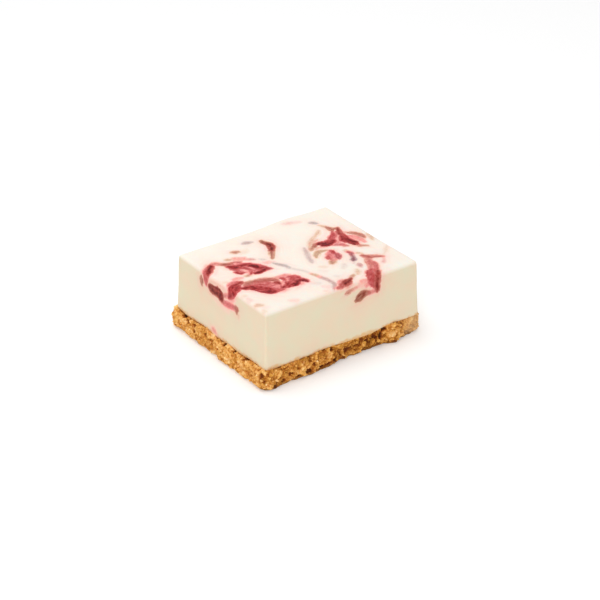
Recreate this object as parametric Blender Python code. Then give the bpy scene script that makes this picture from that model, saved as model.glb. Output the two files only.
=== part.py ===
"""Strawberry cheesecake bar: a cut block of set cheesecake on a pressed crumb base.

The long cut face looks along -Y and the short one that shows with it looks along -X.
Lengths below are millimetres; the meshes are made in metres, +Z up.
"""
import math

import bmesh
import bpy
from mathutils import Vector, noise

MM = 0.001

# Driving dimensions of the block
FILLING_LENGTH = 72.0  # along X, at the foot of the filling
FILLING_WIDTH = 59.6  # along Y
FILLING_HEIGHT = 23.0
BASE_THICKNESS = 7.6
JOINT_GAP = 0.3  # between the base and the filling that sits on it

# The filling: its knife-cut sides lean in slightly and its edges are softly rounded
SIDE_LEAN = 1.05  # how far each side has come in at the top
FOOT_CORNER_RADIUS = 1.3
FOOT_ROUNDING = 0.25
TOP_EDGE_RADIUS = 1.5
SIDE_UNEVENNESS = 0.15
TOP_UNEVENNESS = 0.2
UNEVENNESS_SCALE = 17.0
TOP_LAYER = 90.0  # which slice of the noise the top's unevenness is read from
FOOT_FADE = 0.3  # share of the side's height over which its unevenness fades in
RIDGE_HEIGHT = 0.8  # low ridge where the mix was pushed up at the far long edge
RIDGE_MIDDLE = 15.0
RIDGE_HALF_LENGTH = 10.0
RIDGE_HALF_WIDTH = 6.0
SIDE_LEVELS = 6
EDGE_LEVELS = 4
TOP_RING_SCALES = (0.94, 0.86, 0.74, 0.5)

# The crumb base: how far it reaches past the foot of the filling on each side
LEFT_REACH = 2.4
RIGHT_REACH = 2.0
BACK_REACH = 1.1
FRONT_REACH = 2.0
FRONT_HOLLOW_DEPTH = 1.9  # the long side steps back past its middle
FRONT_HOLLOW_START = -12.0
FRONT_HOLLOW_FULL = 2.0
CLUMP_REACH = 1.6  # one proud clump stands out of that hollow
CLUMP_PLACE = 24.0
CLUMP_HALF_LENGTH = 3.6
CORNER_RADII = (3.4, 5.0, 4.5, 3.2)  # front left, front right, back right, back left
WANDER = 0.3
WANDER_SCALE = 9.0
WANDER_LAYER = 7.0

# Crumbs: rounded lumps with pits between them, in a coarse and a finer size
COARSE_CRUMB = 3.8
COARSE_RELIEF = 0.95
FINE_CRUMB = 2.4
FINE_RELIEF = 0.3
CREVICE_WIDTH = 0.35  # as a share of a crumb
CRUMB_DOME = 0.75  # rise from a pit to the crumb's face
PIT_LEVEL = -0.55
CRUMB_PROUDNESS = 0.7  # how much one crumb may stand out more than the next
PROUDNESS_MIX = 5.3  # spreads neighbouring crumbs over the noise
LEDGE_SHARE = 0.6  # relief on the ledge, as a share of the relief on the side
LEDGE_CLEAR = 0.4  # the ledge stays level this close to the filling's foot
LEDGE_FULL = 1.2
RIM_UNDERCUT = 0.9
RIM_SHARE = 0.14  # share of the height that the undercut rim takes
SHOULDER_INSET = 0.7
SHOULDER_SHARE = 0.2
BASE_LEVELS = 7
LEDGE_LEVELS = 3

# The two layers meet on a wavy line that is flat further in
WAVE_HEIGHT = 0.45
WAVE_SCALE = 11.0
WAVE_LAYER = 40.0
WAVY_RING_SCALE = 0.96
FLAT_RING_SCALE = 0.86

# Stations round the outline; the filling uses every second one
LONG_STATIONS = 58
SHORT_STATIONS = 48
CORNER_STATIONS = 8

NOISE_GAIN = 1.6  # brings the noise to about -1 to 1
SHARP_ANGLE = math.radians(50)


def smooth_step(low, high, value):
    """Rise from 0 at low to 1 at high with level ends."""
    share = min(max((value - low) / (high - low), 0.0), 1.0)
    return share * share * (3.0 - 2.0 * share)


def bump(value, middle, half_width):
    """A rounded hill of height 1."""
    return math.exp(-(((value - middle) / half_width) ** 2))


def uneven(x, y, z, scale):
    """Smooth unevenness between about -1 and 1 with hills of about the given size."""
    return noise.noise(Vector((x, y, z)) / scale) * NOISE_GAIN


def outline(x_low, x_high, y_low, y_high, radii):
    """Points and outward normals round a rectangle with rounded corners, from the front left.

    Every outline has the same stations, so rings made from different ones can be joined.
    """
    centres = (
        (x_low + radii[0], y_low + radii[0]),
        (x_high - radii[1], y_low + radii[1]),
        (x_high - radii[2], y_high - radii[2]),
        (x_low + radii[3], y_high - radii[3]),
    )
    stations = []
    for corner in range(4):
        start = math.pi + corner * math.pi / 2
        cx, cy = centres[corner]
        for step in range(CORNER_STATIONS):
            angle = start + step / CORNER_STATIONS * math.pi / 2
            normal = Vector((math.cos(angle), math.sin(angle), 0.0))
            stations.append((Vector((cx, cy, 0.0)) + normal * radii[corner], normal))
        side_normal = Vector((math.cos(start + math.pi / 2), math.sin(start + math.pi / 2), 0.0))
        begin = Vector((cx, cy, 0.0)) + side_normal * radii[corner]
        nx, ny = centres[(corner + 1) % 4]
        end = Vector((nx, ny, 0.0)) + side_normal * radii[(corner + 1) % 4]
        count = LONG_STATIONS if corner % 2 == 0 else SHORT_STATIONS
        for step in range(count):
            stations.append((begin.lerp(end, step / count), side_normal.copy()))
    return stations


def foot_outline():
    """The foot of the filling on the base."""
    half_length = FILLING_LENGTH / 2
    half_width = FILLING_WIDTH / 2
    radii = (FOOT_CORNER_RADIUS,) * 4
    return outline(-half_length, half_length, -half_width, half_width, radii)


def interface_wave(foot):
    """Height of the wavy line between the layers, at a point of the filling's foot."""
    return WAVE_HEIGHT * uneven(foot.x, foot.y, WAVE_LAYER, WAVE_SCALE)


def skin(mesh_name, rings):
    """A closed mesh through rings of points, listed from the underside up."""
    bm = bmesh.new()
    loops = []
    for ring in rings:
        loops.append([bm.verts.new(point * MM) for point in ring])
    for lower, upper in zip(loops, loops[1:]):
        for i in range(len(lower)):
            j = (i + 1) % len(lower)
            bm.faces.new((lower[i], lower[j], upper[j], upper[i]))
    bm.faces.new(list(reversed(loops[0])))
    bm.faces.new(loops[-1])
    bmesh.ops.triangulate(bm, faces=bm.faces[:])
    bm.normal_update()
    mesh = bpy.data.meshes.new(mesh_name)
    bm.to_mesh(mesh)
    bm.free()
    mesh.shade_smooth()
    mesh.set_sharp_from_angle(angle=SHARP_ANGLE)
    return mesh


def finish(name, red, green, blue, roughness):
    """A plain matt food material."""
    material = bpy.data.materials.new(name)
    material.use_nodes = True
    shader = material.node_tree.nodes["Principled BSDF"]
    shader.inputs["Base Color"].default_value = (red, green, blue, 1.0)
    shader.inputs["Roughness"].default_value = roughness
    shader.inputs["Metallic"].default_value = 0.0
    return material


# ---------------------------------------------------------------- crumb base


def crumb_relief(point):
    """How far the crumbs stand out at a point, from pits at about -1 to proud crumbs at 1."""
    relief = 0.0
    for size, share in ((COARSE_CRUMB, COARSE_RELIEF), (FINE_CRUMB, FINE_RELIEF)):
        distances, centres = noise.voronoi(point / size)
        dome = smooth_step(0.0, CREVICE_WIDTH, distances[1] - distances[0])
        proud = noise.noise(centres[0] * PROUDNESS_MIX)
        relief += share * (PIT_LEVEL + CRUMB_DOME * dome + CRUMB_PROUDNESS * proud)
    return relief


def base_reach(point, normal):
    """Extra reach of the base past its plain outline: the hollow, the clump and a slow wander."""
    extra = WANDER * uneven(point.x, point.y, WANDER_LAYER, WANDER_SCALE)
    facing_front = max(-normal.y, 0.0)
    hollow = smooth_step(FRONT_HOLLOW_START, FRONT_HOLLOW_FULL, point.x)
    clump = bump(point.x, CLUMP_PLACE, CLUMP_HALF_LENGTH)
    return extra + facing_front * (CLUMP_REACH * clump - FRONT_HOLLOW_DEPTH * hollow)


def base_side_point(point, normal, share, top):
    """A point of the crumbly side, at a share of the height of the side."""
    height = share * top
    reach = base_reach(point, normal)
    reach += crumb_relief(Vector((point.x, point.y, height)))
    rim = max(1.0 - share / RIM_SHARE, 0.0)
    shoulder = max((share - 1.0 + SHOULDER_SHARE) / SHOULDER_SHARE, 0.0)
    reach -= RIM_UNDERCUT * rim**2 + SHOULDER_INSET * shoulder**2
    side = point + normal * reach
    side.z = height
    return side


def ledge_point(edge, inner, share, foot, foot_normal):
    """A point between the outer edge of the base and the ring below the filling."""
    point = edge.lerp(inner, share)
    outward = (point - foot).dot(foot_normal)
    free = smooth_step(LEDGE_CLEAR, LEDGE_FULL, outward)
    level = BASE_THICKNESS + interface_wave(foot)
    relief = LEDGE_SHARE * crumb_relief(Vector((point.x, point.y, level)))
    point.z = level + free * relief
    return point


def crumb_base():
    """Pressed biscuit crumbs, flat underneath, with a crumbly side and ledge."""
    half_length = FILLING_LENGTH / 2
    half_width = FILLING_WIDTH / 2
    plain = outline(
        -half_length - LEFT_REACH,
        half_length + RIGHT_REACH,
        -half_width - FRONT_REACH,
        half_width + BACK_REACH,
        CORNER_RADII,
    )
    feet = foot_outline()
    rings = []
    for level in range(BASE_LEVELS + 1):
        share = level / BASE_LEVELS
        ring = []
        for (point, normal), (foot, foot_normal) in zip(plain, feet):
            top = BASE_THICKNESS + interface_wave(foot)
            ring.append(base_side_point(point, normal, share, top))
        rings.append(ring)
    edge_ring = rings[-1]
    for level in range(1, LEDGE_LEVELS + 1):
        share = level / LEDGE_LEVELS
        ring = []
        for edge, (foot, foot_normal) in zip(edge_ring, feet):
            inner = foot * WAVY_RING_SCALE
            inner.z = edge.z
            ring.append(ledge_point(edge, inner, share, foot, foot_normal))
        rings.append(ring)
    flat_ring = []
    for foot, foot_normal in feet:
        inner = foot * FLAT_RING_SCALE
        inner.z = BASE_THICKNESS
        flat_ring.append(inner)
    rings.append(flat_ring)
    return bpy.data.objects.new("crumb_base", skin("crumb_base", rings))


# ---------------------------------------------------------------- filling


def top_height(x, y):
    """Height of the filling's top above its foot: nearly level, with one low ridge."""
    ridge = bump(x, RIDGE_MIDDLE, RIDGE_HALF_LENGTH)
    ridge *= bump(y, FILLING_WIDTH / 2 - SIDE_LEAN, RIDGE_HALF_WIDTH)
    level = FILLING_HEIGHT + TOP_UNEVENNESS * uneven(x, y, TOP_LAYER, UNEVENNESS_SCALE)
    return level + RIDGE_HEIGHT * ridge


def filling_side_point(foot, normal, share, side_top):
    """A point of a cut side, at a share of its height."""
    height = share * side_top
    lean = -SIDE_LEAN * height / FILLING_HEIGHT
    uneven_by = SIDE_UNEVENNESS * uneven(foot.x, foot.y, height, UNEVENNESS_SCALE)
    point = foot + normal * (lean + uneven_by * smooth_step(0.0, FOOT_FADE, share))
    point.z = height
    return point


def cheesecake_filling():
    """The set filling, with its foot at z = 0."""
    feet = foot_outline()[::2]
    rings = []
    flat_ring = []
    wavy_ring = []
    foot_ring = []
    for foot, normal in feet:
        flat_ring.append(foot * FLAT_RING_SCALE)
        wavy = foot * WAVY_RING_SCALE
        wavy.z = interface_wave(foot)
        wavy_ring.append(wavy)
        low = foot - normal * FOOT_ROUNDING
        low.z = interface_wave(foot)
        foot_ring.append(low)
    rings += [flat_ring, wavy_ring, foot_ring]
    for level in range(SIDE_LEVELS + 1):
        share = level / SIDE_LEVELS
        ring = []
        for foot, normal in feet:
            side_top = top_height(foot.x, foot.y) - TOP_EDGE_RADIUS
            point = filling_side_point(foot, normal, share, side_top)
            point.z += (interface_wave(foot) + FOOT_ROUNDING) * (1.0 - share)
            ring.append(point)
        rings.append(ring)
    shoulder_ring = rings[-1]
    for level in range(1, EDGE_LEVELS + 1):
        angle = level / EDGE_LEVELS * math.pi / 2
        inward = TOP_EDGE_RADIUS * (1.0 - math.cos(angle))
        upward = TOP_EDGE_RADIUS * math.sin(angle)
        ring = []
        for shoulder, (foot, normal) in zip(shoulder_ring, feet):
            half_length = FILLING_LENGTH / 2 - SIDE_LEAN
            half_width = FILLING_WIDTH / 2 - SIDE_LEAN
            squeeze = Vector((1.0 - inward / half_length, 1.0 - inward / half_width, 1.0))
            point = shoulder * squeeze
            point.z = shoulder.z + upward
            ring.append(point)
        rings.append(ring)
    brow_ring = rings[-1]
    for scale in TOP_RING_SCALES:
        ring = []
        for brow in brow_ring:
            point = brow * scale
            point.z = top_height(point.x, point.y)
            ring.append(point)
        rings.append(ring)
    return bpy.data.objects.new("cheesecake_filling", skin("cheesecake_filling", rings))


# ---------------------------------------------------------------- the whole bar

for old in list(bpy.data.objects):
    bpy.data.objects.remove(old, do_unlink=True)

base = crumb_base()
base.data.materials.append(finish("baked_crumb", 0.58, 0.33, 0.12, 0.85))

filling = cheesecake_filling()
filling.data.materials.append(finish("set_cheesecake", 0.88, 0.81, 0.68, 0.55))
filling.location.z = (BASE_THICKNESS + JOINT_GAP) * MM

# The origin is the middle of the bar's footprint, on the surface that it stands on
bar = bpy.data.objects.new("cheesecake_bar", None)
x_values = [vertex.co.x for vertex in base.data.vertices]
y_values = [vertex.co.y for vertex in base.data.vertices]
bar.location.x = -(min(x_values) + max(x_values)) / 2
bar.location.y = -(min(y_values) + max(y_values)) / 2
for piece in (bar, base, filling):
    bpy.context.scene.collection.objects.link(piece)
for piece in (base, filling):
    piece.parent = bar
bpy.context.view_layer.update()
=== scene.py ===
import math

import bpy
import numpy as np
from mathutils import Matrix, Vector, noise


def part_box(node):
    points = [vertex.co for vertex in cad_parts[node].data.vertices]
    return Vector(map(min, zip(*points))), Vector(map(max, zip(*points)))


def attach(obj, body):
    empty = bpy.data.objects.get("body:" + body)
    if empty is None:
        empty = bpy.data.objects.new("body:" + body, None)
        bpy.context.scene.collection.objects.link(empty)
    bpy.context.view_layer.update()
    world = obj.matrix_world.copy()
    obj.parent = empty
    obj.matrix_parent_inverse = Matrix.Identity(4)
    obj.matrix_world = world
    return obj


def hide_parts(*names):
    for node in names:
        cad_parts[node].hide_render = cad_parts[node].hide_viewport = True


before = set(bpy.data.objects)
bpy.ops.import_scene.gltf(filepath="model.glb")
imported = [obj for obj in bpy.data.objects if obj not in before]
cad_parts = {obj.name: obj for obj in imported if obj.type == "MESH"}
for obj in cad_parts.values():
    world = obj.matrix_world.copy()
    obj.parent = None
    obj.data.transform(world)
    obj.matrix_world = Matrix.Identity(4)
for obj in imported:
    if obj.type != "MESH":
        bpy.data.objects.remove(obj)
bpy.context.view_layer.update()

# ------------------------------------------------------------------------------------------
# The pressed base: baked biscuit crumbs bound with butter, cut and torn along its sides. It is
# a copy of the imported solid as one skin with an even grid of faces. Crumbs of three sizes stand
# out of it, and there are hollows where whole crumbs broke away.

MM = 0.001


def select_only(piece):
    """Nothing but this piece is selected, and it is the active one."""
    bpy.ops.object.select_all(action="DESELECT")
    piece.select_set(True)
    bpy.context.view_layer.objects.active = piece


def skin_of(node, name, grid):
    """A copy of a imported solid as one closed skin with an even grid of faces."""
    piece = bpy.data.objects.new(name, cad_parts[node].data.copy())
    bpy.context.scene.collection.objects.link(piece)
    select_only(piece)
    bpy.ops.object.mode_set(mode="EDIT")
    bpy.ops.mesh.select_all(action="SELECT")
    bpy.ops.mesh.remove_doubles(threshold=0.001 * MM)
    bpy.ops.object.mode_set(mode="OBJECT")
    remesh = piece.modifiers.new("even_grid", "REMESH")
    remesh.mode = "VOXEL"
    remesh.voxel_size = grid
    bpy.ops.object.modifier_apply(modifier=remesh.name)
    return piece


def close_hidden(piece, hidden):
    """One face takes the place of the flat faces out of sight, chosen by centre (mm) and normal."""
    select_only(piece)
    bpy.ops.object.mode_set(mode="EDIT")
    bpy.ops.mesh.select_mode(type="FACE")
    bpy.ops.mesh.select_all(action="DESELECT")
    bpy.ops.object.mode_set(mode="OBJECT")
    for face in piece.data.polygons:
        face.select = hidden(face.center / MM, face.normal)
    bpy.ops.object.mode_set(mode="EDIT")
    bpy.ops.mesh.delete(type="FACE")
    bpy.ops.mesh.select_mode(type="EDGE")
    bpy.ops.mesh.select_all(action="SELECT")
    bpy.ops.mesh.fill_holes(sides=0)
    bpy.ops.mesh.delete_loose()
    bpy.ops.object.mode_set(mode="OBJECT")


def points_of(piece):
    """The piece's vertices, in millimetres."""
    flat = np.empty(len(piece.data.vertices) * 3, np.float32)
    piece.data.vertices.foreach_get("co", flat)
    return flat.reshape(-1, 3).astype(float) / MM


def normals_of(piece):
    """The piece's vertex normals."""
    flat = np.empty(len(piece.data.vertices) * 3, np.float32)
    piece.data.vertex_normals.foreach_get("vector", flat)
    return flat.reshape(-1, 3).astype(float)


def move_points(piece, points):
    """Put the piece's vertices at these places, in millimetres."""
    piece.data.vertices.foreach_set("co", (points * MM).astype(np.float32).ravel())
    piece.data.update()


def keep_value(piece, name, values):
    """Store a number for each vertex, for the material to read."""
    attribute = piece.data.attributes.new(name, "FLOAT", "POINT")
    attribute.data.foreach_set("value", np.asarray(values, np.float32))


def smooth_step(low, high, values):
    """Rise from 0 at low to 1 at high with level ends."""
    share = np.clip((values - low) / (high - low), 0.0, 1.0)
    return share * share * (3.0 - 2.0 * share)


def crumb_cells(points, size):
    """For each point, how far it is from the edge of its crumb, and a chance value of that crumb."""
    inside = np.empty(len(points))
    chance = np.empty(len(points))
    for i, place in enumerate((points / size).tolist()):
        distances, centres = noise.voronoi(Vector(place))
        inside[i] = distances[1] - distances[0]
        chance[i] = noise.noise(centres[0] * 5.3)
    return inside, np.clip(chance * 1.6, -1.0, 1.0)


def uneven(points, size):
    """Smooth chance values between about -1 and 1, with hills of about the given size."""
    return np.array([noise.noise(Vector(place)) for place in (points / size).tolist()]) * 1.6


BASE_GRID = 0.27 * MM
# Crumbs in the skin: how wide they are, how far they stand out, and how much their tones differ
CRUMB_KINDS = ((2.4, 0.3, 0.45), (1.2, 0.26, 0.45), (0.65, 0.13, 0.3))
# The near sides are what lies past these places, across the bar and along it
FRONT_FROM = -28.0
LEFT_FROM = -34.0
# The bake differs by this much over patches this wide, and the front is this much darker
BROAD_TONE = 0.3
BROAD_SIZE = 6.0
FRONT_SHADE = 0.35
# How deep the hollows are that lie by chance on every side; their depth also darkens them as painted shade
CHANCE_HOLLOW = 0.9
# The ledge beside the filling is all that faces up above this height
LEDGE_FROM = 5.0
# Painted contact shadow darkens the rim next to the table, most of all along the front, and fades out at
# this height
FRONT_RIM_SHADE = 0.95
RIM_SHADE = 0.55
RIM_SHADE_TOP = 1.7
# How far in from the filling's foot the level faces are out of sight, on top of the base and below
HIDDEN_ABOVE = 2.4
HIDDEN_BELOW = 3.2
# Marks on a near side: the place along it and the height, the half width and half height, how deep
#  a hollow it is (its depth also darkens it, as painted shade), and how much lighter (above 0) or darker it
#  is baked.
LEFT_MARKS = (
    (31.0, 6.5, 1.5, 1.0, 0.3, -0.6),
    (24.5, 3.5, 1.5, 1.2, 0.0, 0.4),
    (23.5, 7.3, 0.9, 0.8, 1.6, -1.0),
    (22.5, 1.0, 1.5, 0.8, 0.0, -0.3),
    (20.0, 6.5, 1.2, 0.8, 0.6, -0.6),
    (18.5, 4.8, 1.0, 1.0, 0.0, 0.3),
    (16.0, 6.5, 1.2, 0.8, 0.3, -0.3),
    (14.0, 0.5, 1.5, 0.8, 0.2, -0.5),
    (13.8, 2.0, 0.8, 0.5, 0.4, -0.5),
    (8.3, 6.3, 0.8, 0.7, 0.8, -0.8),
    (3.3, 6.0, 1.0, 1.0, 0.5, -0.7),
    (1.5, 1.0, 2.5, 0.8, 0.0, 0.5),
    (-3.8, 7.5, 0.8, 0.8, 1.5, -1.0),
    (-7.0, 2.5, 1.6, 1.2, 0.0, 0.6),
    (-9.3, 0.8, 1.6, 0.8, 0.3, -0.7),
    (-10.0, 7.7, 0.8, 0.8, 1.5, -1.0),
    (-14.3, 1.5, 1.2, 0.8, 0.2, -0.4),
    (-14.8, 5.0, 0.9, 0.7, 0.4, -0.6),
    (-17.0, 7.5, 1.3, 0.7, 0.6, -0.6),
    (-18.5, 1.0, 1.4, 1.0, 0.2, -0.5),
    (-19.0, 6.0, 0.8, 0.8, 0.4, -0.6),
    (-20.0, 7.3, 1.2, 0.6, 0.0, 0.3),
    (-24.5, 3.0, 1.2, 1.2, 0.0, 0.3),
    (-26.0, 6.0, 1.2, 1.0, 0.3, -0.5),
    (-28.5, 5.7, 1.2, 1.0, 0.6, -0.9),
)
FRONT_MARKS = (
    (-38.0, 6.5, 1.5, 0.8, 0.5, -0.8),
    (-37.0, 4.0, 0.9, 0.7, 0.5, -0.8),
    (-35.7, 2.5, 1.1, 0.8, 0.0, 0.8),
    (-33.8, 4.0, 0.9, 0.7, 0.2, -0.3),
    (-33.0, 1.2, 1.0, 0.8, 0.9, -1.0),
    (-28.5, 1.6, 1.0, 0.9, 0.9, -1.0),
    (-28.0, 7.0, 1.8, 0.4, 0.3, -0.5),
    (-25.0, 3.3, 0.9, 0.7, 0.7, -0.9),
    (-24.0, 7.5, 1.2, 0.5, 0.0, 0.5),
    (-21.7, 1.3, 1.2, 0.7, 0.8, -0.9),
    (-19.8, 6.5, 1.1, 0.8, 0.0, 0.6),
    (-17.0, 1.8, 1.2, 0.9, 0.8, -0.9),
    (-15.0, 4.3, 0.9, 0.9, 0.7, -0.9),
    (-13.0, 5.5, 1.2, 0.3, 0.3, -0.4),
    (-11.2, 1.3, 1.1, 0.7, 0.6, -0.8),
    (-10.0, 7.5, 1.4, 0.6, 0.3, -0.5),
    (-7.8, 1.4, 2.2, 0.7, 0.6, -0.8),
    (-7.0, 5.0, 1.5, 1.3, 0.0, 0.6),
    (-5.8, 7.0, 0.9, 0.7, 0.8, -0.8),
    (-4.8, 4.5, 0.8, 0.9, 0.3, -0.5),
    (-4.7, 2.0, 1.1, 1.1, 1.1, -1.0),
    (-2.6, 5.0, 0.8, 0.8, 0.5, -0.7),
    (0.5, 1.0, 1.5, 0.6, 0.4, -0.7),
    (1.5, 3.7, 1.3, 1.0, 0.5, -0.7),
    (3.0, 7.0, 1.2, 0.7, 0.0, 0.3),
    (3.8, 4.0, 1.0, 1.0, 0.3, -0.6),
    (5.5, 4.0, 11.5, 5.0, 0.0, -0.4),
    (6.3, 4.0, 1.1, 0.9, 0.5, -0.7),
    (9.0, 5.5, 1.3, 1.0, 0.2, -0.4),
    (9.5, 1.3, 1.2, 0.7, 0.4, -0.8),
    (11.0, 4.0, 1.1, 1.0, 0.5, -0.8),
    (12.5, 7.7, 1.2, 0.7, 0.3, -0.4),
    (12.7, 4.0, 1.0, 1.0, 0.2, -0.5),
    (14.5, 4.8, 0.9, 0.9, 0.6, -0.9),
    (16.5, 1.5, 1.2, 0.6, 0.5, -0.9),
    (17.3, 5.0, 1.1, 1.7, 1.9, -1.0),
    (18.9, 7.0, 1.0, 0.8, 1.0, -1.0),
    (22.3, 6.3, 0.9, 0.6, 0.4, -0.6),
    (22.5, 4.0, 2.0, 1.2, 0.0, 0.8),
    (22.8, 1.0, 1.8, 0.6, 0.5, -0.8),
    (24.0, 7.3, 1.0, 0.6, 0.3, -0.5),
    (27.0, 3.0, 1.2, 1.0, 0.0, 0.4),
    (27.8, 0.7, 1.3, 0.6, 0.2, -0.5),
)

foot_low, foot_high = (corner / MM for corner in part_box("cheesecake_filling"))


def under_filling(centre, normal):
    """Whether a face of the base is level and out of sight."""
    inset = HIDDEN_ABOVE if normal.z > 0 else HIDDEN_BELOW
    return (
        abs(normal.z) > 0.9
        and foot_low.x + inset < centre.x < foot_high.x - inset
        and foot_low.y + inset < centre.y < foot_high.y - inset
    )


base = skin_of("crumb_base", "pressed_crumb_base", BASE_GRID)
close_hidden(base, under_filling)
points = points_of(base)
normals = normals_of(base)
height = points[:, 2].copy()
on_front = points[:, 1] < FRONT_FROM
on_left = points[:, 0] < LEFT_FROM
lift = np.zeros(len(points))
tone = BROAD_TONE * uneven(points, BROAD_SIZE) - FRONT_SHADE * on_front
for size, relief, share in CRUMB_KINDS:
    inside, chance = crumb_cells(points + 0.25 * size * uneven(points, size)[:, None], size)
    lift += relief * (smooth_step(0.0, 0.45, inside) - 0.75 + 0.8 * chance)
    tone += share * chance
ragged = uneven(points, 2.4) + 0.5 * uneven(points, 1.1)
hollow_and_shade = CHANCE_HOLLOW * smooth_step(1.0, 1.35, ragged)
for side, along, marks in ((on_left, points[:, 1], LEFT_MARKS), (on_front, points[:, 0], FRONT_MARKS)):
    for place, level, wide, tall, deep, bake in marks:
        reach = np.hypot((along - place) / wide, (height - level) / tall) + 0.25 * ragged
        spot = (1.0 - smooth_step(0.5, 1.4, reach)) * side
        tone += bake * spot
        hollow_and_shade = np.maximum(hollow_and_shade, deep * spot)
lift -= hollow_and_shade
lift *= smooth_step(0.2, 1.2, height)
points += normals * lift[:, None]
upward = smooth_step(0.4, 0.8, normals[:, 2]) * (height > LEDGE_FROM)
points[:, 2] += upward * (0.35 * uneven(points, 3.2) + 0.2 * uneven(points, 1.4))
points[:, 2] = np.maximum(points[:, 2], 0.0)
move_points(base, points)
# painted contact shadow along the foot of the base, next to the table
rim_contact_shade = np.where(on_front, FRONT_RIM_SHADE, RIM_SHADE) * (1.0 - smooth_step(0.3, RIM_SHADE_TOP, height))
keep_value(base, "tone", tone)
keep_value(base, "lift", lift)
# the hollows and the foot are stored as painted shade, which darkens the colour
keep_value(base, "hollow_and_shade", np.maximum(hollow_and_shade, rim_contact_shade))
base.data.shade_smooth()


def paint(red, green, blue):
    """A colour as a screen shows it (0 to 255), as the linear values that a shader takes."""
    channels = []
    for value in (red, green, blue):
        share = value / 255
        channels.append(share / 12.92 if share <= 0.04045 else ((share + 0.055) / 1.055) ** 2.4)
    return (*channels, 1.0)


def new_finish(name, **settings):
    """A material, its node tree, and its Principled shader with these sockets set."""
    material = bpy.data.materials.new(name)
    material.use_nodes = True
    tree = material.node_tree
    shader = tree.nodes["Principled BSDF"]
    for socket, value in settings.items():
        shader.inputs[socket.replace("_", " ")].default_value = value
    return material, tree, shader


def put(tree, kind, settings=None, **inputs):
    """A new node. Inputs that are sockets are linked, and others are set."""
    made = tree.nodes.new("ShaderNode" + kind)
    for name, setting in (settings or {}).items():
        setattr(made, name, setting)
    for name, value in inputs.items():
        socket = made.inputs[name.replace("_", " ")]
        if isinstance(value, bpy.types.NodeSocket):
            tree.links.new(value, socket)
        else:
            socket.default_value = value
    return made


def value_of(tree, name):
    """The socket that gives a value stored in the mesh."""
    return put(tree, "Attribute", {"attribute_name": name}).outputs["Fac"]


def clouds(tree, where, scale, detail, rough=0.5):
    """The socket that gives smooth chance values between 0 and 1."""
    made = put(tree, "TexNoise", None, Vector=where, Scale=scale, Detail=detail, Roughness=rough)
    return made.outputs["Fac"]


def math_of(tree, operation, *terms):
    """The result of a sum on sockets or numbers."""
    made = put(tree, "Math", {"operation": operation})
    for socket, term in zip(made.inputs, terms):
        if isinstance(term, bpy.types.NodeSocket):
            tree.links.new(term, socket)
        else:
            socket.default_value = term
    return made.outputs["Value"]


def spread(tree, value, low, high, to_low=0.0, to_high=1.0):
    """A value, moved from one range to another and kept inside it."""
    made = put(tree, "MapRange", None, Value=value)
    for name, number in (("From Min", low), ("From Max", high), ("To Min", to_low), ("To Max", to_high)):
        made.inputs[name].default_value = number
    return made.outputs["Result"]


def ramp(tree, value, *stops):
    """A colour ramp through (place, colour) stops."""
    made = put(tree, "ValToRGB", None, Fac=value)
    elements = made.color_ramp.elements
    while len(elements) < len(stops):
        elements.new(0.5)
    for element, (place, colour) in zip(elements, stops):
        element.position = place
        element.color = paint(*colour)
    return made.outputs["Color"]


def blend(tree, share, first, second, how="MIX"):
    """Two colours, mixed by a share. A colour is a socket or screen values."""
    made = put(tree, "Mix", {"data_type": "RGBA", "blend_type": how})
    colours = [socket for socket in made.inputs if socket.type == "RGBA"]
    for socket, colour in zip(colours, (first, second)):
        if isinstance(colour, bpy.types.NodeSocket):
            tree.links.new(colour, socket)
        else:
            socket.default_value = paint(*colour)
    factor = made.inputs[0]
    if isinstance(share, bpy.types.NodeSocket):
        tree.links.new(share, factor)
    else:
        factor.default_value = share
    return next(socket for socket in made.outputs if socket.type == "RGBA")


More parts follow.
